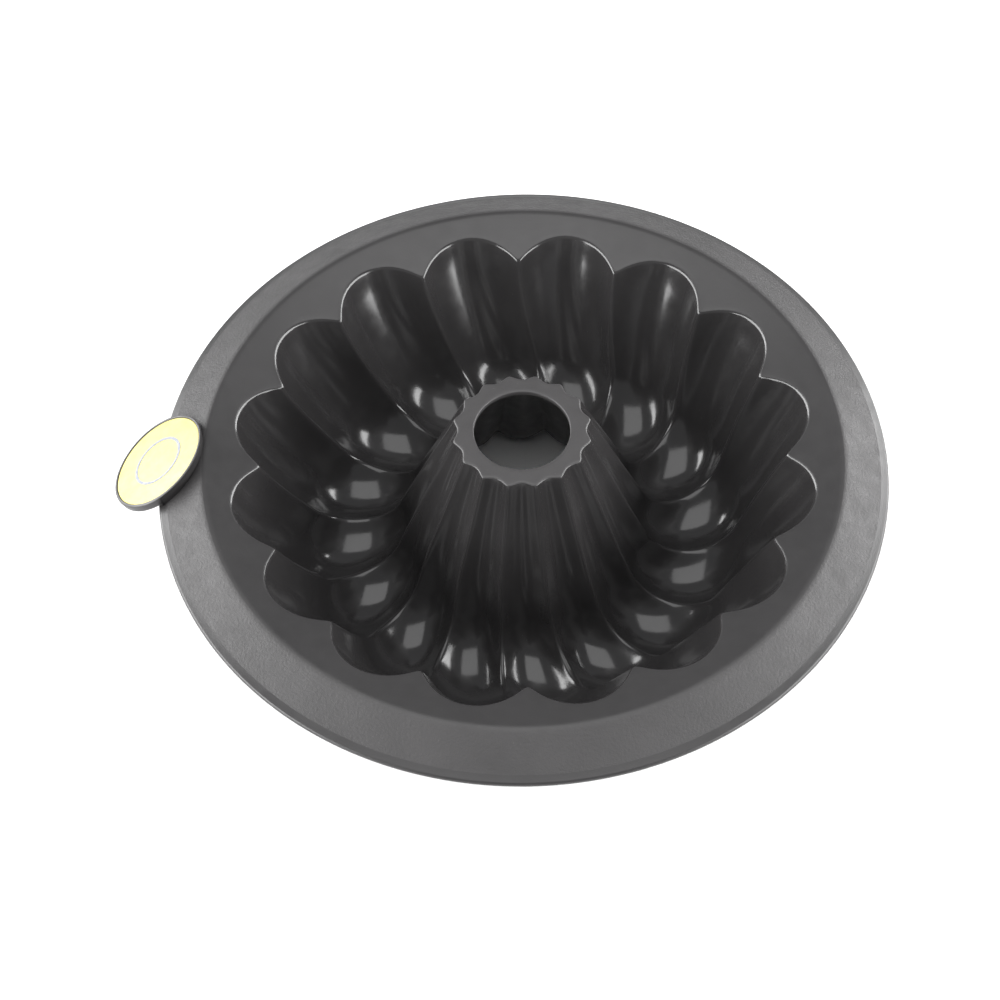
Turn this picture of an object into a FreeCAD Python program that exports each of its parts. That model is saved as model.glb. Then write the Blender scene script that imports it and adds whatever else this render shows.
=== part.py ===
"""Fluted ring-cake (bundt) pan: a flexible silicone moulding with a coloured badge on its tab.

Frame: +Z up, origin on the axis of the centre tube at the level the pan stands on.
Lengths are millimetres, angles degrees. The moulding is cut into four nodes along its own
natural lines (flange, bowl, tube, tab); the badge and its printed ring are separate pieces.
"""
import FreeCAD, Part
import os
from math import atan2, cos, hypot, pi, radians, sin, sqrt, tan

from FreeCAD import Vector

# ---- wall -------------------------------------------------------------------------------
WALL = 2.2                  # silicone wall, everywhere except the rim bead
FOOT_TRIM = 0.5             # what is flattened off the lowest point of each flute to stand on

# ---- cavity, measured on the narrow ridges that stand up between the flutes ---------------
FLUTES = 16
FIRST_RIDGE_ANGLE = -0.9    # where a ridge starts at the mouth, from +X
MOUTH_RADIUS = 99.0         # ridges at the mouth of the cavity
CAVITY_DEPTH = 49.5         # from the mouth down to the lowest point of a ridge
WALL_DRAFT = 25.0           # outer wall, from vertical
TUBE_DRAFT = 22.1           # centre tube, from vertical
TUBE_TOP_RADIUS = 25.6      # ridges at the top of the tube
TUBE_RISE = 18.8            # tube top above the mouth
TWIST = -12.3               # how far a ridge turns about the axis, from mouth to tube top
TWIST_SHARE = 0.72          # share of a ridge's length over which it turns

# ---- flutes: the scoops between ridges ----------------------------------------------------
MOUTH_FLUTE_DEPTH = 8.4     # at the mouth, square to the outer wall
FLOOR_FLUTE_DEPTH = 5.5     # at the floor
TOP_FLUTE_DEPTH = 1.7       # at the top of the tube
FLUTE_FADE = 1.3            # 1 thins the flutes evenly down the wall, more does it near the mouth
RIDGE_SOFTNESS = 1.5        # 0 would be a knife-edged ridge

# ---- collar and flange --------------------------------------------------------------------
LIP_RADIUS = 3.0            # rounding where the cavity meets the collar
COLLAR_SLOPE = 16.5         # the collar rises outwards, from horizontal
COLLAR_WIDTH = 20.4         # from the ridges at the mouth out to the crest
COLLAR_STRIP = 4.4          # outer part of the collar, which belongs to the flange node
CREST_ROUNDING = 2.6
FLANGE_WIDTH = 17.4         # from the crest to the outermost point of the rim bead
FLANGE_SLOPE = 28.5         # the flange falls outwards, from horizontal
BEAD_RADIUS = 1.3           # half the thickness of the rim bead

# ---- tube ---------------------------------------------------------------------------------
TOP_LAND = 7.8              # width of the star's flat top, from its ridges to the hole
TUBE_LIP_RADIUS = 1.0       # rounding round the star at the top of the tube
HOLE_TRIM = 1.0             # the top is moulded this much too far in, and the hole cut through it

# ---- grip tab and its badge ---------------------------------------------------------------
TAB_RADIUS = 21.2
TAB_THICKNESS = 3.4
TAB_BEARING = 177.0         # direction of the tab's centre from the tube's axis
TAB_OUTSET = 0.9            # its centre lies this far outside the rim
TAB_TILT = 34.4             # its face leans outwards from horizontal
TAB_TILT_BEARING = 168.0    # direction it leans in
TAB_CLEAR = 1.9             # the face stands this far above the rim
TAB_EDGE = 0.7              # rounding of its edges
TAB_BORDER = 1.3            # raised border round the badge
BADGE_RECESS = 1.0
BADGE_STEP = 0.25           # how far the badge lies below the tab's raised border
RING_OUTER = 11.0
RING_WIDTH = 1.2
RING_THICKNESS = 0.12
ROOT_SINK = 1.1             # the tab's root reaches this far into the flange

# ---- sampling of the fluted skins ---------------------------------------------------------
ACROSS = 28                 # steps across one flute
CROWDING = 0.75             # how strongly those steps crowd towards the ridge
SEW_GAP = 0.001             # edges this close are one edge
LIP_STEPS = 6               # rows down each stretch of a skin
WALL_STEPS = 8
FLOOR_STEPS = 8
TUBE_STEPS = 8

# ---- sizes that follow ----------------------------------------------------------------------
MOUTH_Z = CAVITY_DEPTH + FLOOR_FLUTE_DEPTH + WALL - FOOT_TRIM
TUBE_TOP_Z = MOUTH_Z + TUBE_RISE
CREST_RADIUS = MOUTH_RADIUS + COLLAR_WIDTH
COLLAR_CUT_RADIUS = CREST_RADIUS - COLLAR_STRIP
FLANGE_RADIUS = CREST_RADIUS + FLANGE_WIDTH
TUBE_HOLE_RADIUS = TUBE_TOP_RADIUS - TOP_LAND
TAB_CENTRE_RADIUS = FLANGE_RADIUS + TAB_OUTSET
BADGE_RADIUS = TAB_RADIUS - TAB_BORDER


class RidgeLine:
    """Side view of one ridge: straight wall, round floor, straight tube, met by arc length."""

    def __init__(self):
        wall = radians(WALL_DRAFT)
        tube = radians(TUBE_DRAFT)
        self.start = (MOUTH_RADIUS, MOUTH_Z)
        self.end = (TUBE_TOP_RADIUS, TUBE_TOP_Z)
        # unit normals, pointing out of the cavity into the silicone
        self.wall_normal = (cos(wall), -sin(wall))
        self.tube_normal = (-cos(tube), -sin(tube))
        floor_z = MOUTH_Z - CAVITY_DEPTH
        self.solve_floor(floor_z)
        self.wall_end = hypot(self.foot[0] - self.start[0], self.foot[1] - self.start[1])
        self.turn = radians(180 - WALL_DRAFT - TUBE_DRAFT)
        self.bottom = self.wall_end + self.floor_radius * radians(90 - WALL_DRAFT)
        self.tube_start = self.wall_end + self.floor_radius * self.turn
        heel = self.offset_from_centre(self.tube_normal)
        self.length = self.tube_start + hypot(self.end[0] - heel[0], self.end[1] - heel[1])

    def solve_floor(self, floor_z):
        """Find the arc that touches both straight sides and the floor level."""
        (wx, wz), (tx, tz) = self.wall_normal, self.tube_normal
        # centre (x, floor_z + rho): normal . (side_point - centre) = rho on both sides
        wall_sum = wx * self.start[0] + wz * (self.start[1] - floor_z)
        tube_sum = tx * self.end[0] + tz * (self.end[1] - floor_z)
        # wx * x + (1 + wz) * rho = wall_sum ; tx * x + (1 + tz) * rho = tube_sum
        det = wx * (1 + tz) - tx * (1 + wz)
        centre_x = (wall_sum * (1 + tz) - tube_sum * (1 + wz)) / det
        self.floor_radius = (wx * tube_sum - tx * wall_sum) / det
        self.centre = (centre_x, floor_z + self.floor_radius)
        self.foot = self.offset_from_centre(self.wall_normal)

    def offset_from_centre(self, normal):
        return (self.centre[0] + self.floor_radius * normal[0],
                self.centre[1] + self.floor_radius * normal[1])

    def at(self, s):
        """Point and outward normal at arc length s from the mouth."""
        if s <= self.wall_end:
            normal = self.wall_normal
            back = self.wall_end - s
            point = (self.foot[0] - back * normal[1], self.foot[1] + back * normal[0])
            return point, normal
        if s < self.tube_start:
            angle = radians(WALL_DRAFT) + (s - self.wall_end) / self.floor_radius
            normal = (cos(angle), -sin(angle))
            return self.offset_from_centre(normal), normal
        normal = self.tube_normal
        heel = self.offset_from_centre(normal)
        on = s - self.tube_start
        return (heel[0] + on * normal[1], heel[1] - on * normal[0]), normal


RIDGE = RidgeLine()


def smooth_step(t):
    t = min(max(t, 0.0), 1.0)
    return t * t * (3 - 2 * t)


def flute_depth(s):
    """Depth of the flutes at arc length s: fading down the wall, level over the floor."""
    if s < RIDGE.bottom:
        left = min(max(1 - s / RIDGE.wall_end, 0.0), 1.0)
        return FLOOR_FLUTE_DEPTH + (MOUTH_FLUTE_DEPTH - FLOOR_FLUTE_DEPTH) * left ** FLUTE_FADE
    share = (s - RIDGE.bottom) / (RIDGE.length - RIDGE.bottom)
    return FLOOR_FLUTE_DEPTH + (TOP_FLUTE_DEPTH - FLOOR_FLUTE_DEPTH) * smooth_step(share)


def twist_at(s):
    share = min(max(s / (TWIST_SHARE * RIDGE.length), 0.0), 1.0)
    return TWIST * sin(pi / 2 * share) ** 2


def eased(height):
    """Height above a knife-edged ridge, once the ridge has been softened."""
    return sqrt(height ** 2 + RIDGE_SOFTNESS ** 2) - RIDGE_SOFTNESS


def scoop(s, r, across, under):
    """How far the skin lies behind the ridge line: round scoops that meet in softened ridges.

    across is 0 on a ridge and +-0.5 in the middle of a flute. under is 0 for the inside of the
    pan and WALL for its outside, whose scoops have the same centres and a larger radius.
    """
    depth = flute_depth(s)
    half_width = pi * r / FLUTES
    radius = (half_width ** 2 + depth ** 2) / (2 * depth)
    aside = (1 - 2 * abs(across)) * half_width
    at_ridge = sqrt((radius + under) ** 2 - half_width ** 2) - (radius - depth)
    sharp = sqrt((radius + under) ** 2 - aside ** 2) - (radius - depth)
    full = depth + under - at_ridge
    return at_ridge + eased(sharp - at_ridge) * full / eased(full)


def skin_point(s, across, under):
    """(radius, z) of the skin at arc length s and this place across a flute."""
    (r, z), (nr, nz) = RIDGE.at(s)
    out = scoop(s, r, across, under)
    return r + out * nr, z + out * nz


def round_corner(corner, before, after, radius, steps):
    """Points of an arc that rounds a corner between unit directions before and after."""
    turn = atan2(before[0] * after[1] - before[1] * after[0],
                 before[0] * after[0] + before[1] * after[1])
    reach = radius * tan(abs(turn) / 2)
    side = 1 if turn > 0 else -1
    start = (corner[0] - reach * before[0], corner[1] - reach * before[1])
    centre = (start[0] - side * radius * before[1], start[1] + side * radius * before[0])
    vr, vz = start[0] - centre[0], start[1] - centre[1]
    points = []
    for i in range(steps + 1):
        a = turn * i / steps
        turned = (vr * cos(a) - vz * sin(a), vr * sin(a) + vz * cos(a))
        points.append((centre[0] + turned[0], centre[1] + turned[1]))
    return points, reach


def collar_height(r, under):
    """Height of the collar's cone at radius r."""
    slope = radians(COLLAR_SLOPE)
    return MOUTH_Z + (r - MOUTH_RADIUS) * tan(slope) - under / cos(slope)


def bowl_lines(across, under):
    """One line down the bowl as rows of (radius, z, s): its rim, its lip, then wall and floor."""
    slope = radians(COLLAR_SLOPE)
    inwards = (-cos(slope), -sin(slope))
    wall = radians(WALL_DRAFT)
    down = (-sin(wall), -cos(wall))
    top = skin_point(0.0, across, under)
    # slide the wall's line up or down until it meets the collar
    gap = collar_height(top[0], under) - top[1]
    rise = gap / (cos(wall) - sin(wall) * tan(slope))
    corner = (top[0] - rise * down[0], top[1] - rise * down[1])
    arc, reach = round_corner(corner, inwards, down, LIP_RADIUS - under, LIP_STEPS)
    wall_start = reach - rise
    # the lip turns with the ridge, from nothing on the collar to the wall's first row
    lip = [(r, z, wall_start * i / LIP_STEPS) for i, (r, z) in enumerate(arc)]
    trough = [lip[-1]]
    for i in range(1, WALL_STEPS):
        s = wall_start + (RIDGE.wall_end - wall_start) * i / WALL_STEPS
        trough.append(skin_point(s, across, under) + (s,))
    for i in range(FLOOR_STEPS + 1):
        s = RIDGE.wall_end + (RIDGE.bottom - RIDGE.wall_end) * i / FLOOR_STEPS
        trough.append(skin_point(s, across, under) + (s,))
    rim = (COLLAR_CUT_RADIUS, collar_height(COLLAR_CUT_RADIUS, under), 0.0)
    return rim, lip, trough


def tube_lines(across, under):
    """One line down the tube as rows of (radius, z, s): hole's edge, lip, then cone and floor."""
    tube = radians(TUBE_DRAFT)
    down = (sin(tube), -cos(tube))
    top_z = TUBE_TOP_Z - under
    end = skin_point(RIDGE.length, across, under)
    rise = (top_z - end[1]) / cos(tube)
    corner = (end[0] - rise * sin(tube), top_z)
    radius = TUBE_LIP_RADIUS / 2 if under else TUBE_LIP_RADIUS
    arc, reach = round_corner(corner, (1.0, 0.0), down, radius, LIP_STEPS)
    cone_end = RIDGE.length + rise - reach
    lip = [(r, z, cone_end) for r, z in arc]
    cone = [lip[-1]]
    for i in range(1, TUBE_STEPS):
        s = cone_end + (RIDGE.tube_start - cone_end) * i / TUBE_STEPS
        cone.append(skin_point(s, across, under) + (s,))
    for i in range(FLOOR_STEPS + 1):
        s = RIDGE.tube_start + (RIDGE.bottom - RIDGE.tube_start) * i / FLOOR_STEPS
        cone.append(skin_point(s, across, under) + (s,))
    rim = (TUBE_HOLE_RADIUS - HOLE_TRIM, top_z, cone_end)
    return rim, lip, cone


def across_steps():
    """Where the skin is sampled from one flute's middle to the next, crowded at the ridge."""
    steps = []
    for i in range(ACROSS + 1):
        t = i / ACROSS - 0.5
        steps.append(t - CROWDING * sin(2 * pi * t) / (2 * pi))
    return steps


def ring_point(row, across):
    """Turn a row's (radius, z, s) into a point at this place across the flute."""
    r, z, s = row
    a = radians(FIRST_RIDGE_ANGLE + across * 360.0 / FLUTES + twist_at(s))
    return Vector(r * cos(a), r * sin(a), z)


def edge_near(face, point):
    """The face's edge that passes closest to a point on one of its borders."""
    vertex = Part.Vertex(point)
    return min(face.Edges, key=lambda edge: edge.distToShape(vertex)[0])


def curve_through(points, parameters):
    curve = Part.BSplineCurve()
    curve.interpolate(Points=points, Parameters=parameters)
    return curve


def face_through(rows, across):
    """Smooth face through rows of points. Faces whose rows share across meet exactly."""
    middle = len(across) // 2
    along = [0.0]
    for row, following in zip(rows, rows[1:]):
        along.append(along[-1] + row[middle].distanceToPoint(following[middle]))
    row_curves = [curve_through(list(row), across) for row in rows]
    row_poles = [curve.getPoles() for curve in row_curves]
    column_curves = [curve_through(list(column), along) for column in zip(*row_poles)]
    u, v = row_curves[0], column_curves[0]
    surface = Part.BSplineSurface()
    surface.buildFromPolesMultsKnots(
        [curve.getPoles() for curve in column_curves],
        u.getMultiplicities(), v.getMultiplicities(), u.getKnots(), v.getKnots(),
        False, False, u.Degree, v.Degree)
    return surface.toShape()


def skin(lines, under):
    """One flute's share of a skin, centred on the first ridge.

    Returns its three faces (flat strip, lip, long side), the arc it starts from and the edge
    it ends on, and for each face a point on each side border.
    """
    columns = [(across, lines(across, under)) for across in across_steps()]
    faces = []
    borders = []
    for strip in (1, 2):
        points = [[ring_point(row, across) for row in rows[strip]] for across, rows in columns]
        faces.append(face_through(list(zip(*points)), [across for across, _ in columns]))
        middle = len(columns[0][1][strip]) // 2
        outer_columns = (columns[0], columns[-1])
        borders.append([ring_point(rows[strip][middle], across) for across, rows in outer_columns])
    rim = columns[0][1][0]
    arc = Part.Arc(*[ring_point(rim, across) for across in (-0.5, 0.0, 0.5)]).toShape()
    _, lip, side = lines(0.0, under)
    flat = Part.makeRuledSurface(arc, edge_near(faces[0], ring_point(lip[0], 0.0)))
    ends = []
    for across, rows in (columns[0], columns[-1]):
        ends.append((ring_point(rim, across) + ring_point(rows[1][0], across)) / 2)
    last = edge_near(faces[1], ring_point(side[-1], 0.0))
    return [flat] + faces, arc, last, [ends] + borders


def solid_from(faces):
    """Sew faces along their shared edges into one solid, right side out."""
    shell = Part.makeShell(faces)
    shell.sewShape(SEW_GAP)
    solid = Part.makeSolid(shell.Shells[0])
    if solid.Volume < 0:
        solid.reverse()
    return solid


def is_side(face):
    """True for a face that looks more along the ring than any other way, between two flutes."""
    u0, u1, v0, v1 = face.ParameterRange
    u, v = (u0 + u1) / 2, (v0 + v1) / 2
    normal, middle = face.normalAt(u, v), face.valueAt(u, v)
    along = Vector(-middle.y, middle.x, 0).normalize()
    return abs(normal.dot(along)) > cos(pi / 4)


def flute_faces(lines):
    """Skins and ends of one flute, with the foot and the tube's hole cut, and no sides."""
    upper, upper_arc, upper_last, upper_borders = skin(lines, 0.0)
    lower, lower_arc, lower_last, lower_borders = skin(lines, WALL)
    faces = upper + lower
    faces.append(Part.makeRuledSurface(upper_arc, lower_arc))
    faces.append(Part.makeRuledSurface(upper_last, lower_last))
    for top, bottom, top_points, bottom_points in zip(upper, lower, upper_borders, lower_borders):
        for top_point, bottom_point in zip(top_points, bottom_points):
            side = Part.makeRuledSurface(edge_near(top, top_point), edge_near(bottom, bottom_point))
            faces.append(side)
    reach = 2 * FLANGE_RADIUS
    below = Part.makeBox(reach, reach, reach, Vector(-reach / 2, -reach / 2, -reach))
    hole = Part.makeCylinder(TUBE_HOLE_RADIUS, reach)
    hole.rotate(Vector(0, 0, 0), Vector(0, 0, 1), 180)  # its seam is away from this flute
    sector = solid_from(faces).cut(below).cut(hole)
    return [face for face in sector.Faces if not is_side(face)]


def fluted_solid(lines):
    """A ring of flutes, closed into one solid."""
    flute = flute_faces(lines)
    faces = []
    for i in range(FLUTES):
        for face in flute:
            turned = face.copy()
            turned.rotate(Vector(0, 0, 0), Vector(0, 0, 1), i * 360.0 / FLUTES)
            faces.append(turned)
    return solid_from(faces)


def flange_section(under):
    """Corner points (radius, z) of the flange's upper or lower line, cut to rim-bead centre."""
    slope = radians(FLANGE_SLOPE)
    crest_z = collar_height(CREST_RADIUS, 0.0)
    bead_r = FLANGE_RADIUS - BEAD_RADIUS
    crest = (CREST_RADIUS, crest_z)
    if under:
        # both lines move square to themselves, so their corner moves along the bisector
        half = radians(COLLAR_SLOPE + FLANGE_SLOPE) / 2
        lean = radians(FLANGE_SLOPE) - half
        crest = (crest[0] - under / cos(half) * sin(lean), crest[1] - under / cos(half) * cos(lean))
    start = (COLLAR_CUT_RADIUS, collar_height(COLLAR_CUT_RADIUS, under))
    end = (bead_r, crest[1] - (bead_r - crest[0]) * tan(slope))
    return start, crest, end


def outer_flange():
    """Collar's outer strip, the crest, the sloping flange and the round bead along its edge."""
    rise, fall = radians(COLLAR_SLOPE), radians(FLANGE_SLOPE)
    outwards = (cos(rise), sin(rise))
    down = (cos(fall), -sin(fall))
    top_start, top_crest, top_end = flange_section(0.0)
    low_start, low_crest, low_end = flange_section(WALL)
    top_arc, _ = round_corner(top_crest, outwards, down, CREST_ROUNDING + WALL, 2)
    low_arc, _ = round_corner(low_crest, outwards, down, CREST_ROUNDING, 2)

    def at(point):
        return Vector(point[0], 0, point[1])

    edges = [
        Part.LineSegment(at(top_start), at(top_arc[0])).toShape(),
        Part.Arc(*[at(p) for p in top_arc]).toShape(),
        Part.LineSegment(at(top_arc[2]), at(top_end)).toShape(),
        Part.LineSegment(at(top_end), at(low_end)).toShape(),
        Part.LineSegment(at(low_end), at(low_arc[2])).toShape(),
        Part.Arc(*[at(p) for p in low_arc]).toShape(),
        Part.LineSegment(at(low_arc[0]), at(low_start)).toShape(),
        Part.LineSegment(at(low_start), at(top_start)).toShape(),
    ]
    section = Part.Face(Part.Wire(edges))
    flange = section.revolve(Vector(0, 0, 0), Vector(0, 0, 1), 360)
    bead_z = (top_end[1] + low_end[1]) / 2
    bead = Part.makeTorus(FLANGE_RADIUS - BEAD_RADIUS, BEAD_RADIUS, Vector(0, 0, bead_z))
    return flange.fuse(bead).removeSplitter()


def tab_placement():
    """Where the tab's top face lies: local origin at its centre, local +Z out of the face."""
    bearing = radians(TAB_BEARING)
    _, _, rim = flange_section(0.0)
    height = rim[1] - (TAB_CENTRE_RADIUS - rim[0]) * tan(radians(FLANGE_SLOPE)) + TAB_CLEAR
    centre = Vector(TAB_CENTRE_RADIUS * cos(bearing), TAB_CENTRE_RADIUS * sin(bearing), height)
    lean = radians(TAB_TILT_BEARING)
    axis = Vector(-sin(lean), cos(lean), 0)
    return FreeCAD.Placement(centre, FreeCAD.Rotation(axis, TAB_TILT))


def placed(shape):
    shape.Placement = tab_placement().multiply(shape.Placement)
    return shape


def disc(radius, top, thickness):
    return Part.makeCylinder(radius, thickness, Vector(0, 0, top - thickness))


def round_edges(body):
    return [edge for edge in body.Edges if isinstance(edge.Curve, Part.Circle)]


def grip_tab(flange):
    """Round tab on the rim with a shallow recess for its badge, moulded on to the flange."""
    body = disc(TAB_RADIUS, 0.0, TAB_THICKNESS)
    body = body.makeFillet(TAB_EDGE, round_edges(body))
    body = placed(body.cut(disc(BADGE_RADIUS, 0.0, BADGE_RECESS)))
    # the root fills what is left between the tab and the flange it stands on
    depth = TAB_RADIUS
    root = placed(disc(TAB_RADIUS - TAB_EDGE, -TAB_THICKNESS / 2, depth)).common(flange_cover(depth))
    return body.fuse(root).removeSplitter().cut(flange)


def flange_cover(height):
    """The space above the flange's sloping band, starting a little inside the flange."""
    _, crest, end = flange_section(0.0)
    inner = crest[0] + CREST_ROUNDING
    outer = end[0] - BEAD_RADIUS
    slope = tan(radians(FLANGE_SLOPE))
    low_inner = crest[1] - (inner - crest[0]) * slope - ROOT_SINK
    low_outer = crest[1] - (outer - crest[0]) * slope - ROOT_SINK
    low = [(inner, low_inner), (outer, low_outer)]
    high = [(outer, low_outer + height), (inner, low_inner + height)]
    points = [Vector(r, 0, z) for r, z in low + high]
    section = Part.Face(Part.makePolygon(points + points[:1]))
    return section.revolve(Vector(0, 0, 0), Vector(0, 0, 1), 360)


def tab_badge():
    """Coloured silicone disc that fills the tab's recess."""
    return placed(disc(BADGE_RADIUS, -BADGE_STEP, BADGE_RECESS - BADGE_STEP))


def badge_ring():
    """Plain printed ring on the badge."""
    top = RING_THICKNESS - BADGE_STEP
    ring = disc(RING_OUTER, top, RING_THICKNESS)
    return placed(ring.cut(disc(RING_OUTER - RING_WIDTH, top, RING_THICKNESS)))


def build():
    os.makedirs("parts", exist_ok=True)
    flange = outer_flange()
    nodes = {
        "outer_flange": flange,
        "fluted_bowl": fluted_solid(bowl_lines),
        "centre_tube": fluted_solid(tube_lines),
        "grip_tab": grip_tab(flange),
        "tab_badge": tab_badge(),
        "badge_ring": badge_ring(),
    }
    for name, shape in nodes.items():
        shape.exportStep(f"parts/{name}.step")
        box = shape.BoundBox
        print(name, len(shape.Solids), "solid, valid", shape.isValid(), round(shape.Volume), "mm3,",
              "z", round(box.ZMin, 2), "to", round(box.ZMax, 2))


build()
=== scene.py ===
"""Silicone bundt pan on a pale studio floor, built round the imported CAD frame.

The moulding is one continuous skin in the real thing, so one smooth mesh stands for the
flange, bowl and tube. The tab and its badge are meshes of their own, and the badge's printed
ring is the CAD's own mesh with a new material.
Lengths in the shape formulas are millimetres; MM turns them into metres.
"""

from math import atan2, cos, hypot, pi, radians, sin, sqrt, tan

import bmesh
import bpy
from mathutils import Matrix, Vector


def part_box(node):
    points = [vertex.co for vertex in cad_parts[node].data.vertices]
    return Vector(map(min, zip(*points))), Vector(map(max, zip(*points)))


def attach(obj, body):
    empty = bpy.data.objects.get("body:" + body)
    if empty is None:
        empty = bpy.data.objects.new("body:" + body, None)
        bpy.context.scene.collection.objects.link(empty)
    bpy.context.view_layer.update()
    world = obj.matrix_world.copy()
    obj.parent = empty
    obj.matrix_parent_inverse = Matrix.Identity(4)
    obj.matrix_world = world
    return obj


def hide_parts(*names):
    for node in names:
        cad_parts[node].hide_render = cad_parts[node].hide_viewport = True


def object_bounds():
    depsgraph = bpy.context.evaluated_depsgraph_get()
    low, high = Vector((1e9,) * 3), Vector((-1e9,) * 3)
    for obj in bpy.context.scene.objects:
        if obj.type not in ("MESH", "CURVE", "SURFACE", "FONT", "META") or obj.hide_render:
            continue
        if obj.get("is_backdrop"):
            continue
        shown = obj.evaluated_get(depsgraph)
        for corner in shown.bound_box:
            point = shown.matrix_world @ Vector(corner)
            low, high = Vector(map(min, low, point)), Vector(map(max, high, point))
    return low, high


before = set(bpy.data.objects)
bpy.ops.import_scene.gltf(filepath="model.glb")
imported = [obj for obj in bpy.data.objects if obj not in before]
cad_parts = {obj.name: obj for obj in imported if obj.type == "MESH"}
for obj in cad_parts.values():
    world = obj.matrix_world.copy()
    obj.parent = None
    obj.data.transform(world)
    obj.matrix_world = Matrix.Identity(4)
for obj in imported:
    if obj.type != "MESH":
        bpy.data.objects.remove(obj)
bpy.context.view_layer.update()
MM = 0.001

# ---- moulding, the same dimensions as the CAD; angles in degrees --------------------------
WALL = 2.2
FLUTES = 16
FIRST_RIDGE_ANGLE = -0.9
MOUTH_RADIUS = 99.0
CAVITY_DEPTH = 49.5
WALL_DRAFT = 25.0
TUBE_DRAFT = 22.1
TUBE_TOP_RADIUS = 25.6
TUBE_RISE = 18.8
TWIST = -12.3
TWIST_SHARE = 0.72
MOUTH_FLUTE_DEPTH = 8.4
FLOOR_FLUTE_DEPTH = 5.5
TOP_FLUTE_DEPTH = 1.7
FLUTE_FADE = 1.3
RIDGE_SOFTNESS = 1.5
LIP_RADIUS = 3.0
COLLAR_SLOPE = 16.5
COLLAR_WIDTH = 20.4
CREST_RADIUS = MOUTH_RADIUS + COLLAR_WIDTH
CREST_ROUNDING = 2.6
FLANGE_WIDTH = 17.4
FLANGE_RADIUS = CREST_RADIUS + FLANGE_WIDTH
FLANGE_SLOPE = 28.5
BEAD_RADIUS = 1.3
TOP_LAND = 7.8
TUBE_HOLE_RADIUS = TUBE_TOP_RADIUS - TOP_LAND
TUBE_LIP_RADIUS = 1.0
HOLE_EDGE_RADIUS = 0.5
BEAD_OVERLAP = 9            # the bead runs this many degrees past a half circle at each end
GROOVE_INSET = 1.35         # flange stops short of the bead's centre, in bead radii

# ---- tab and badge ------------------------------------------------------------------------
TAB_RADIUS = 21.2
TAB_THICKNESS = 3.4
TAB_BEARING = 177.0
TAB_OUTSET = 0.9
TAB_CENTRE_RADIUS = FLANGE_RADIUS + TAB_OUTSET
TAB_TILT = 34.4
TAB_TILT_BEARING = 168.0
TAB_CLEAR = 1.9
TAB_EDGE = 0.7
TAB_BORDER = 1.3
BADGE_RADIUS = TAB_RADIUS - TAB_BORDER
BADGE_RECESS = 1.0
BADGE_STEP = 0.25
BADGE_EDGE = 0.35
RECESS_EDGE = 0.3

# ---- mesh density -------------------------------------------------------------------------
ACROSS = 28
CROWDING = 0.7
ARC_STEPS = 7
WALL_STEPS = 16
FLOOR_STEPS = 18
CONE_STEPS = 26
TAB_STEPS = 120

TUBE_TOP_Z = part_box("centre_tube")[1].z / MM
MOUTH_Z = TUBE_TOP_Z - TUBE_RISE


# ============================ shape of the moulding ========================================
class RidgeLine:
    """Side view of one ridge: straight wall, round floor, straight tube, by arc length."""

    def __init__(self):
        wall = radians(WALL_DRAFT)
        tube = radians(TUBE_DRAFT)
        self.start = (MOUTH_RADIUS, MOUTH_Z)
        self.end = (TUBE_TOP_RADIUS, TUBE_TOP_Z)
        self.wall_normal = (cos(wall), -sin(wall))
        self.tube_normal = (-cos(tube), -sin(tube))
        self.solve_floor(MOUTH_Z - CAVITY_DEPTH)
        self.foot = self.off_centre(self.wall_normal)
        self.heel = self.off_centre(self.tube_normal)
        self.wall_end = hypot(self.foot[0] - self.start[0], self.foot[1] - self.start[1])
        self.bottom = self.wall_end + self.floor_radius * radians(90 - WALL_DRAFT)
        self.tube_start = self.wall_end + self.floor_radius * radians(180 - WALL_DRAFT - TUBE_DRAFT)
        self.length = self.tube_start + hypot(self.end[0] - self.heel[0], self.end[1] - self.heel[1])

    def solve_floor(self, floor_z):
        """The arc that touches both straight sides and the floor level."""
        (wx, wz), (tx, tz) = self.wall_normal, self.tube_normal
        wall_sum = wx * self.start[0] + wz * (self.start[1] - floor_z)
        tube_sum = tx * self.end[0] + tz * (self.end[1] - floor_z)
        det = wx * (1 + tz) - tx * (1 + wz)
        centre_x = (wall_sum * (1 + tz) - tube_sum * (1 + wz)) / det
        self.floor_radius = (wx * tube_sum - tx * wall_sum) / det
        self.centre = (centre_x, floor_z + self.floor_radius)

    def off_centre(self, normal):
        return (self.centre[0] + self.floor_radius * normal[0],
                self.centre[1] + self.floor_radius * normal[1])

    def at(self, s):
        """Point and normal (into the silicone) at arc length s from the mouth."""
        if s <= self.wall_end:
            nr, nz = self.wall_normal
            back = self.wall_end - s
            return (self.foot[0] - back * nz, self.foot[1] + back * nr), (nr, nz)
        if s < self.tube_start:
            angle = radians(WALL_DRAFT) + (s - self.wall_end) / self.floor_radius
            normal = (cos(angle), -sin(angle))
            return self.off_centre(normal), normal
        nr, nz = self.tube_normal
        on = s - self.tube_start
        return (self.heel[0] + on * nz, self.heel[1] - on * nr), (nr, nz)


RIDGE = RidgeLine()


def smooth_step(t):
    t = min(max(t, 0.0), 1.0)
    return t * t * (3 - 2 * t)


def flute_depth(s):
    if s < RIDGE.bottom:
        left = min(max(1 - s / RIDGE.wall_end, 0.0), 1.0)
        return FLOOR_FLUTE_DEPTH + (MOUTH_FLUTE_DEPTH - FLOOR_FLUTE_DEPTH) * left ** FLUTE_FADE
    share = (s - RIDGE.bottom) / (RIDGE.length - RIDGE.bottom)
    return FLOOR_FLUTE_DEPTH + (TOP_FLUTE_DEPTH - FLOOR_FLUTE_DEPTH) * smooth_step(share)


def twist_at(s):
    share = min(max(s / (TWIST_SHARE * RIDGE.length), 0.0), 1.0)
    return TWIST * sin(pi / 2 * share) ** 2


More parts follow.
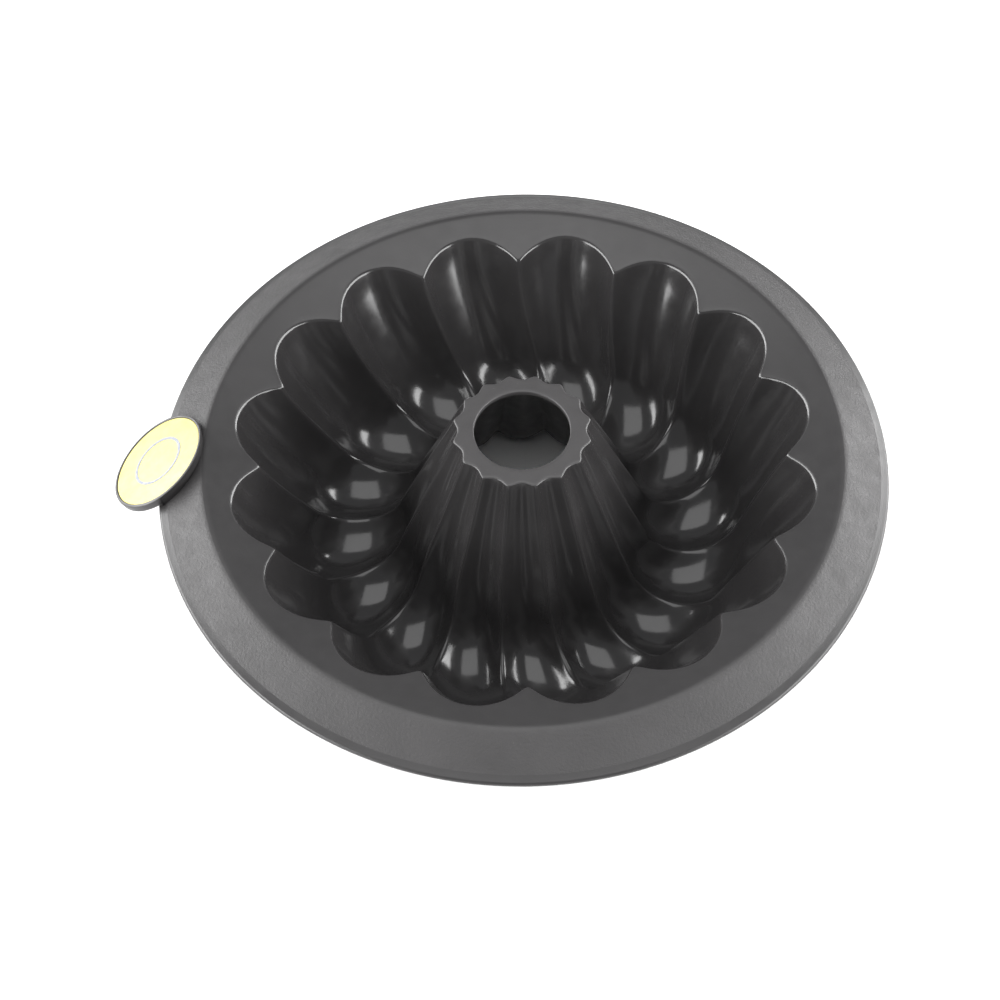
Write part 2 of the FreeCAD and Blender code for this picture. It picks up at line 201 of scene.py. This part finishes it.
def eased(height):
    """Height above a knife-edged ridge, once the ridge has been softened."""
    return sqrt(height ** 2 + RIDGE_SOFTNESS ** 2) - RIDGE_SOFTNESS


def scoop(s, r, across, under):
    """How far the skin lies behind the ridge line: a round scoop between softened ridges.

    across is 0 on a ridge and +-0.5 in the middle of a flute.
    """
    depth = flute_depth(s)
    half = pi * r / FLUTES
    radius = (half ** 2 + depth ** 2) / (2 * depth)
    aside = (1 - 2 * abs(across)) * half
    at_ridge = sqrt((radius + under) ** 2 - half ** 2) - (radius - depth)
    here = sqrt((radius + under) ** 2 - aside ** 2) - (radius - depth)
    full = depth + under - at_ridge
    return at_ridge + eased(here - at_ridge) * full / eased(full)


def skin_point(s, across, under):
    (r, z), (nr, nz) = RIDGE.at(s)
    out = scoop(s, r, across, under)
    return r + out * nr, z + out * nz


def round_corner(corner, before, after, radius, steps):
    """Arc that rounds a corner between two unit directions, and how far back it starts."""
    turn = atan2(before[0] * after[1] - before[1] * after[0],
                 before[0] * after[0] + before[1] * after[1])
    reach = radius * tan(abs(turn) / 2)
    side = 1 if turn > 0 else -1
    start = (corner[0] - reach * before[0], corner[1] - reach * before[1])
    centre = (start[0] - side * radius * before[1], start[1] + side * radius * before[0])
    vr, vz = start[0] - centre[0], start[1] - centre[1]
    points = []
    for i in range(steps + 1):
        a = turn * i / steps
        turned = (vr * cos(a) - vz * sin(a), vr * sin(a) + vz * cos(a))
        points.append((centre[0] + turned[0], centre[1] + turned[1]))
    return points, reach


def collar_height(r, under):
    slope = radians(COLLAR_SLOPE)
    return MOUTH_Z + (r - MOUTH_RADIUS) * tan(slope) - under / cos(slope)


def between(a, b, steps):
    """Points after a and before b on a straight line."""
    return [tuple(p + (q - p) * i / steps for p, q in zip(a, b)) for i in range(1, steps)]


def lip_and_wall(across, under):
    """Rows from the start of the mouth's rounding down to the lowest line of the floor."""
    slope, wall = radians(COLLAR_SLOPE), radians(WALL_DRAFT)
    top = skin_point(0.0, across, under)
    rise = (collar_height(top[0], under) - top[1]) / (cos(wall) - sin(wall) * tan(slope))
    corner = (top[0] + rise * sin(wall), top[1] + rise * cos(wall))
    arc, reach = round_corner(corner, (-cos(slope), -sin(slope)), (-sin(wall), -cos(wall)),
                              LIP_RADIUS - under, ARC_STEPS)
    wall_start = reach - rise
    rows = [(r, z, wall_start * i / ARC_STEPS) for i, (r, z) in enumerate(arc)]
    for i in range(1, WALL_STEPS):
        s = wall_start + (RIDGE.wall_end - wall_start) * i / WALL_STEPS
        rows.append(skin_point(s, across, under) + (s,))
    for i in range(FLOOR_STEPS + 1):
        s = RIDGE.wall_end + (RIDGE.bottom - RIDGE.wall_end) * i / FLOOR_STEPS
        rows.append(skin_point(s, across, under) + (s,))
    return rows


def cone_and_lip(across, under):
    """Rows from just past the lowest line of the floor up the tube to the end of its rounding."""
    tube = radians(TUBE_DRAFT)
    top_z = TUBE_TOP_Z - under
    end = skin_point(RIDGE.length, across, under)
    rise = (top_z - end[1]) / cos(tube)
    corner = (end[0] - rise * sin(tube), top_z)
    radius = TUBE_LIP_RADIUS / 2 if under else TUBE_LIP_RADIUS
    arc, reach = round_corner(corner, (1.0, 0.0), (sin(tube), -cos(tube)), radius, ARC_STEPS)
    cone_end = RIDGE.length + rise - reach
    rows = []
    for i in range(1, FLOOR_STEPS + 1):
        s = RIDGE.bottom + (RIDGE.tube_start - RIDGE.bottom) * i / FLOOR_STEPS
        rows.append(skin_point(s, across, under) + (s,))
    for i in range(1, CONE_STEPS):
        s = RIDGE.tube_start + (cone_end - RIDGE.tube_start) * i / CONE_STEPS
        rows.append(skin_point(s, across, under) + (s,))
    rows += [(r, z, cone_end) for r, z in reversed(arc)]
    return rows


def flange_rows(under):
    """Rows from the rim bead's edge over the crest to the collar."""
    rise, fall = radians(COLLAR_SLOPE), radians(FLANGE_SLOPE)
    crest = (CREST_RADIUS, collar_height(CREST_RADIUS, 0.0))
    bead_r = FLANGE_RADIUS - BEAD_RADIUS
    if under:
        half = (rise + fall) / 2
        lean = fall - half
        crest = (crest[0] - under / cos(half) * sin(lean), crest[1] - under / cos(half) * cos(lean))
    end = (bead_r, crest[1] - (bead_r - crest[0]) * tan(fall))
    rounding = CREST_ROUNDING + (0.0 if under else WALL)
    arc, _ = round_corner(crest, (-cos(fall), sin(fall)), (-cos(rise), -sin(rise)), rounding, ARC_STEPS)
    return end, arc


def bead_rows():
    """The round bead on the rim, from its lower meeting with the flange out and over the top."""
    top, _ = flange_rows(0.0)
    low, _ = flange_rows(WALL)
    centre = (FLANGE_RADIUS - BEAD_RADIUS, (top[1] + low[1]) / 2)
    steps = 3 * ARC_STEPS
    first = radians(-90 - FLANGE_SLOPE)
    sweep = radians(180 + 2 * BEAD_OVERLAP)
    rows = []
    for i in range(steps + 1):
        a = first - radians(BEAD_OVERLAP) + sweep * i / steps
        rows.append((centre[0] + BEAD_RADIUS * cos(a), centre[1] + BEAD_RADIUS * sin(a), 0.0))
    return rows


def side_rows(across, under):
    """One side of the moulding's wall from the bead to the hole, with the zone of each row."""
    end, crest = flange_rows(under)
    mouth = lip_and_wall(across, under)
    cone = cone_and_lip(across, under)
    inset = GROOVE_INSET * BEAD_RADIUS
    groove = (end[0] - inset, end[1] + inset * tan(radians(FLANGE_SLOPE)))
    rows = [(groove[0], groove[1], 0.0, "flange")]
    rows += [(r, z, 0.0, "flange") for r, z in between(groove, crest[0], 8)]
    rows += [(r, z, 0.0, "flange") for r, z in crest[:3]]
    rows += [(r, z, 0.0, "collar") for r, z in crest[3:]]
    rows += [(r, z, 0.0, "collar") for r, z in between(crest[-1], mouth[0][:2], 5)]
    rows += [row + ("collar" if i < 3 else "flutes",) for i, row in enumerate(mouth)]
    rows += [row + ("flutes",) for row in cone[:-ARC_STEPS]]
    rows += [row + ("star",) for row in cone[-ARC_STEPS:]]
    hole = (TUBE_HOLE_RADIUS + HOLE_EDGE_RADIUS, cone[-1][1])
    rows += [(r, z, cone[-1][2], "star") for r, z in between(cone[-1][:2], hole, 5)]
    sign = -1 if under else 1
    for i in range(4):
        a = pi / 2 * i / 3
        rows.append((hole[0] - HOLE_EDGE_RADIUS * sin(a),
                     hole[1] - sign * HOLE_EDGE_RADIUS * (1 - cos(a)), cone[-1][2], "star"))
    return rows


def section(across):
    """The whole closed outline of the wall at one place across a flute."""
    upper = side_rows(across, 0.0)
    lower = [row[:3] + ("underside",) for row in reversed(side_rows(across, WALL))]
    bead = [row + ("bead",) for row in bead_rows()]
    return upper + lower + bead


def across_steps():
    """Places across one flute where the skin is sampled, crowded at the ridge."""
    steps = []
    for i in range(ACROSS):
        t = i / ACROSS - 0.5
        steps.append(t - CROWDING * sin(2 * pi * t) / (2 * pi))
    return steps


def pan_moulding(materials):
    """One closed smooth skin for the flange, bowl and tube."""
    sections = [(across, section(across)) for across in across_steps()]
    count = len(sections[0][1])
    vertices = []
    for flute in range(FLUTES):
        for across, rows in sections:
            for r, z, s, _ in rows:
                a = radians(FIRST_RIDGE_ANGLE + (flute + across) * 360 / FLUTES + twist_at(s))
                vertices.append((r * cos(a) * MM, r * sin(a) * MM, max(z, 0.0) * MM))
    columns = FLUTES * ACROSS
    faces = []
    slots = []
    names = list(materials)
    for c in range(columns):
        here, there = c * count, (c + 1) % columns * count
        for k in range(count):
            following = (k + 1) % count
            faces.append((here + k, here + following, there + following, there + k))
            slots.append(names.index(sections[0][1][k][3]))
    mesh = bpy.data.meshes.new("pan_moulding")
    mesh.from_pydata(vertices, [], faces)
    for material in materials.values():
        mesh.materials.append(material)
    mesh.polygons.foreach_set("material_index", slots)
    mesh.polygons.foreach_set("use_smooth", [True] * len(faces))
    mesh.update()
    piece = link("pan_moulding", mesh)
    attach(piece, "root")
    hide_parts("outer_flange", "fluted_bowl", "centre_tube")
    return piece


def link(name, mesh):
    piece = bpy.data.objects.new(name, mesh)
    bpy.context.scene.collection.objects.link(piece)
    return piece


# ============================ tab and badge ================================================
def flange_top(r):
    """Height of the flange's upper face at radius r."""
    end, _ = flange_rows(0.0)
    return end[1] - (r - end[0]) * tan(radians(FLANGE_SLOPE))


def tab_matrix():
    """Local origin at the tab's centre, local +Z out of its face, millimetres."""
    bearing, lean = radians(TAB_BEARING), radians(TAB_TILT_BEARING)
    height = flange_top(TAB_CENTRE_RADIUS) + TAB_CLEAR
    centre = Vector((TAB_CENTRE_RADIUS * cos(bearing), TAB_CENTRE_RADIUS * sin(bearing), height))
    axis = Vector((-sin(lean), cos(lean), 0))
    return Matrix.Translation(centre) @ Matrix.Rotation(radians(TAB_TILT), 4, axis)


def lathe(name, outline, material, move=None):
    """Closed disc from an outline of (radius, z) that starts and ends on its axis."""
    place = tab_matrix()
    mesh = bmesh.new()
    rings = []
    for i, (r, z) in enumerate(outline):
        if r == 0:
            rings.append([mesh.verts.new(place @ Vector((0, 0, z)) * MM)])
            continue
        ring = []
        for k in range(TAB_STEPS):
            a = 2 * pi * k / TAB_STEPS
            point = place @ Vector((r * cos(a), r * sin(a), z))
            if move:
                point = move(i, point)
            ring.append(mesh.verts.new(point * MM))
        rings.append(ring)
    for first, second in zip(rings, rings[1:]):
        for k in range(TAB_STEPS):
            n = (k + 1) % TAB_STEPS
            if len(first) == 1:
                mesh.faces.new((first[0], second[k], second[n]))
            elif len(second) == 1:
                mesh.faces.new((first[k], second[0], first[n]))
            else:
                mesh.faces.new((first[k], second[k], second[n], first[n]))
    bmesh.ops.recalc_face_normals(mesh, faces=mesh.faces)
    data = bpy.data.meshes.new(name)
    mesh.to_mesh(data)
    mesh.free()
    data.materials.append(material)
    data.polygons.foreach_set("use_smooth", [True] * len(data.polygons))
    data.set_sharp_from_angle(angle=radians(50))
    piece = link(name, data)
    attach(piece, "root")
    return piece


def rounded(outline, radii, steps=5):
    """Round each inner corner of an outline with its own radius."""
    points = [outline[0]]
    for before, corner, after, radius in zip(outline, outline[1:], outline[2:], radii):
        towards = (corner[0] - before[0], corner[1] - before[1])
        away = (after[0] - corner[0], after[1] - corner[1])
        towards = tuple(c / hypot(*towards) for c in towards)
        away = tuple(c / hypot(*away) for c in away)
        points += round_corner(corner, towards, away, radius, steps)[0]
    return points + [outline[-1]]


def tab_moulding(material):
    """The round tab: raised border, recess, and a skirt that runs down on to the flange."""
    outline = rounded([(0, -BADGE_RECESS), (BADGE_RADIUS, -BADGE_RECESS), (BADGE_RADIUS, 0),
                       (TAB_RADIUS, 0), (TAB_RADIUS, -TAB_THICKNESS), (0, -TAB_THICKNESS)],
                      [RECESS_EDGE, RECESS_EDGE, TAB_EDGE, TAB_EDGE])
    inner = FLANGE_RADIUS - BEAD_RADIUS
    first_moved = len(outline) // 2 + 4  # low on the rounding of the outer edge

    def skirt(i, point):
        """Carry the tab's side and underside down into the flange, inside the rim."""
        r = hypot(point.x, point.y)
        if i < first_moved or r > inner:
            return point
        point.z = min(point.z, flange_top(r) - WALL / 2)
        return point

    piece = lathe("grip_tab_moulding", outline, material, skirt)
    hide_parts("grip_tab")


def badge(material):
    top, low = -BADGE_STEP, -BADGE_RECESS
    outline = rounded([(0, top), (BADGE_RADIUS, top), (BADGE_RADIUS, low), (0, low)],
                      [BADGE_EDGE, BADGE_EDGE])
    piece = lathe("badge_moulding", outline, material)
    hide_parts("tab_badge")


# ============================ materials ====================================================
class Nodes:
    """A node material under construction, in object coordinates."""

    def __init__(self, name):
        self.material = bpy.data.materials.new(name)
        self.material.use_nodes = True
        self.tree = self.material.node_tree
        self.shader = self.tree.nodes["Principled BSDF"]
        self.place = self.tree.nodes.new("ShaderNodeTexCoord").outputs["Object"]

    def noise(self, scale, detail=3.0, roughness=0.55):
        node = self.tree.nodes.new("ShaderNodeTexNoise")
        node.inputs["Scale"].default_value = scale
        node.inputs["Detail"].default_value = detail
        node.inputs["Roughness"].default_value = roughness
        self.tree.links.new(self.place, node.inputs["Vector"])
        return node.outputs["Fac"]

    def cells(self, scale, feature="F1"):
        node = self.tree.nodes.new("ShaderNodeTexVoronoi")
        node.feature = feature
        node.inputs["Scale"].default_value = scale
        self.tree.links.new(self.place, node.inputs["Vector"])
        return node.outputs["Distance"]

    def spread(self, value, low, high, out_low, out_high):
        node = self.tree.nodes.new("ShaderNodeMapRange")
        names = ("From Min", "From Max", "To Min", "To Max")
        for key, number in zip(names, (low, high, out_low, out_high)):
            node.inputs[key].default_value = number
        self.tree.links.new(value, node.inputs["Value"])
        return node.outputs["Result"]

    def blend(self, factor, first, second):
        node = self.tree.nodes.new("ShaderNodeMix")
        node.data_type = "RGBA"
        for socket, value in ((node.inputs["A"], first), (node.inputs["B"], second)):
            socket = [s for s in node.inputs if s.name == socket.name and s.type == "RGBA"][0]
            if isinstance(value, tuple):
                socket.default_value = value + (1.0,)
            else:
                self.tree.links.new(value, socket)
        self.tree.links.new(factor, node.inputs["Factor"])
        return [s for s in node.outputs if s.type == "RGBA"][0]

    def bump(self, height, strength, distance, under=None):
        node = self.tree.nodes.new("ShaderNodeBump")
        node.inputs["Strength"].default_value = strength
        node.inputs["Distance"].default_value = distance
        self.tree.links.new(height, node.inputs["Height"])
        if under:
            self.tree.links.new(under, node.inputs["Normal"])
        return node.outputs["Normal"]

    def set(self, **sockets):
        for key, value in sockets.items():
            socket = self.shader.inputs[key.replace("_", " ")]
            if isinstance(value, (int, float)):
                socket.default_value = value
            elif isinstance(value, tuple):
                socket.default_value = value + (1.0,)
            else:
                self.tree.links.new(value, socket)
        return self.material


def grey(level):
    """Silicone grey of this linear level, its red a touch stronger."""
    return (level * 1.03, level * 0.985, level)


def silicone(name, level, contrast, rough, grain_scale, grain):
    """Grey silicone: soft mottling, a few pale specks, uneven gloss and a moulded grain."""
    n = Nodes(name)
    mottle = n.spread(n.noise(38, 4), 0.3, 0.7, 0, 1)
    colour = n.blend(mottle, grey(level * (1 - contrast)), grey(level * (1 + contrast)))
    speck = n.spread(n.cells(420), 0.09, 0.04, 0, 0.35)
    patch = n.spread(n.noise(70, 2), 0.56, 0.66, 0, 1)
    share = n.tree.nodes.new("ShaderNodeMath")
    share.operation = "MULTIPLY"
    n.tree.links.new(speck, share.inputs[0])
    n.tree.links.new(patch, share.inputs[1])
    colour = n.blend(share.outputs[0], colour, grey(level * 3 + 0.03))
    gloss = n.spread(n.noise(160, 5, 0.6), 0.3, 0.7, rough[0], rough[1])
    waves = n.bump(n.noise(26, 2), 0.08, 0.0008)
    normal = n.bump(n.noise(grain_scale, 3, 0.6), grain, 0.0003, waves)
    return n.set(Base_Color=colour, Roughness=gloss, Normal=normal, IOR=1.5)


def flute_silicone():
    return silicone("flute_silicone", 0.020, 0.12, (0.12, 0.20), 700, 0.03)


def collar_silicone():
    return silicone("collar_silicone", 0.022, 0.08, (0.32, 0.42), 900, 0.10)


def flange_silicone():
    return silicone("flange_silicone", 0.032, 0.14, (0.50, 0.64), 900, 0.60)


def star_silicone():
    return silicone("star_silicone", 0.036, 0.08, (0.36, 0.48), 1100, 0.20)


def underside_silicone():
    return silicone("underside_silicone", 0.045, 0.12, (0.42, 0.56), 900, 0.22)


def badge_silicone():
    """Pale yellow silicone, faintly mottled."""
    n = Nodes("badge_silicone_yellow")
    mottle = n.spread(n.noise(240, 4), 0.3, 0.7, 0, 1)
    colour = n.blend(mottle, (0.44, 0.38, 0.11), (0.50, 0.44, 0.15))
    gloss = n.spread(n.noise(500, 3), 0.3, 0.7, 0.30, 0.44)
    normal = n.bump(n.noise(1400, 3), 0.08, 0.0002)
    return n.set(Base_Color=colour, Roughness=gloss, Normal=normal, IOR=1.43)


def print_ink():
    """Blue-grey print, slightly worn."""
    n = Nodes("badge_ink")
    wear = n.spread(n.noise(900, 4), 0.35, 0.62, 0, 1)
    colour = n.blend(wear, (0.26, 0.26, 0.24), (0.16, 0.18, 0.23))
    gloss = n.spread(n.noise(700, 3), 0.3, 0.7, 0.40, 0.55)
    return n.set(Base_Color=colour, Roughness=gloss, IOR=1.45)


def floor_paper():
    """Pale paper with a very faint tooth."""
    n = Nodes("studio_floor")
    cloud = n.spread(n.noise(3, 3), 0.3, 0.7, 0, 1)
    colour = n.blend(cloud, (0.90, 0.90, 0.90), (0.93, 0.93, 0.93))
    normal = n.bump(n.noise(600, 2), 0.03, 0.0003)
    return n.set(Base_Color=colour, Roughness=0.9, Normal=normal, Specular_IOR_Level=0.2)


# ============================ studio =======================================================
FLOOR_SIZE = 6.0
FLOOR_GAP = 0.0002
SIDE_BOX_OUT, SIDE_BOX_UP = 0.80, 0.30
SIDE_BOX_WIDTH, SIDE_BOX_HEIGHT, SIDE_BOX_RADIANCE = 1.6, 0.40, 11.0
TOP_BOX_PLACE = (0.0, -0.05, 1.1)
TOP_BOX_SIDE, TOP_BOX_RADIANCE = 1.1, 2.3
WORLD_COLOUR = (0.97, 0.98, 1.0, 1.0)
WORLD_STRENGTH = 0.42
CAMERA_ELEVATION = 54.5
CAMERA_ROLL = 1.97
CAMERA_DISTANCE = 0.95
CAMERA_AIM = (-0.0090, -0.0180)     # on the plane of the mouth
CAMERA_LENS = 92.3
SENSOR = 36.0


def studio_floor():
    mesh = bmesh.new()
    bmesh.ops.create_grid(mesh, x_segments=8, y_segments=8, size=FLOOR_SIZE / 2)
    data = bpy.data.meshes.new("studio_floor")
    mesh.to_mesh(data)
    mesh.free()
    data.materials.append(floor_paper())
    floor = link("studio_floor", data)
    floor.location.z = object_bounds()[0].z - FLOOR_GAP
    floor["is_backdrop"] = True


def panel(name, place, aim, width, height, radiance):
    """Soft box of an even radiance, facing a point."""
    light = bpy.data.lights.new(name, "AREA")
    light.shape = "RECTANGLE"
    light.size, light.size_y = width, height
    light.energy = radiance * pi * width * height
    lamp = bpy.data.objects.new(name, light)
    bpy.context.scene.collection.objects.link(lamp)
    lamp.location = place
    lamp.rotation_euler = (Vector(aim) - Vector(place)).to_track_quat("-Z", "Y").to_euler()
    lamp.visible_camera = False


def lights():
    centre = (0, 0, MOUTH_Z * MM)
    for name, out in (("left_box", -SIDE_BOX_OUT), ("right_box", SIDE_BOX_OUT)):
        panel(name, (out, 0.0, SIDE_BOX_UP), centre,
              SIDE_BOX_WIDTH, SIDE_BOX_HEIGHT, SIDE_BOX_RADIANCE)
    panel("top_box", TOP_BOX_PLACE, centre, TOP_BOX_SIDE, TOP_BOX_SIDE, TOP_BOX_RADIANCE)
    world = bpy.data.worlds.new("studio_world")
    bpy.context.scene.world = world
    world.use_nodes = True
    background = world.node_tree.nodes["Background"]
    background.inputs["Color"].default_value = WORLD_COLOUR
    background.inputs["Strength"].default_value = WORLD_STRENGTH


def camera():
    e, roll = radians(CAMERA_ELEVATION), radians(CAMERA_ROLL)
    right = Vector((1, 0, 0))
    forward = Vector((0, cos(e), -sin(e)))
    up = Vector((0, sin(e), cos(e)))
    image_right = cos(roll) * right - sin(roll) * up
    image_up = sin(roll) * right + cos(roll) * up
    aim = Vector(CAMERA_AIM + (MOUTH_Z * MM,))
    data = bpy.data.cameras.new("photo_view")
    data.lens, data.sensor_width = CAMERA_LENS, SENSOR
    data.clip_start, data.clip_end = 0.01, 20
    view = bpy.data.objects.new("photo_view", data)
    bpy.context.scene.collection.objects.link(view)
    axes = Matrix((image_right, image_up, -forward)).transposed().to_4x4()
    view.matrix_world = Matrix.Translation(aim - CAMERA_DISTANCE * forward) @ axes
    bpy.context.scene.camera = view


def finish_cad_node(name, material):
    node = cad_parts[name]
    node.data.materials.clear()
    node.data.materials.append(material)


flutes, collar = flute_silicone(), collar_silicone()
zones = {"flange": flange_silicone(), "collar": collar, "flutes": flutes,
         "star": star_silicone(), "underside": underside_silicone(), "bead": collar}
pan_moulding(zones)
tab_moulding(collar)
badge(badge_silicone())
finish_cad_node("badge_ring", print_ink())
studio_floor()
lights()
camera()
bpy.context.scene.view_settings.view_transform = "Standard"
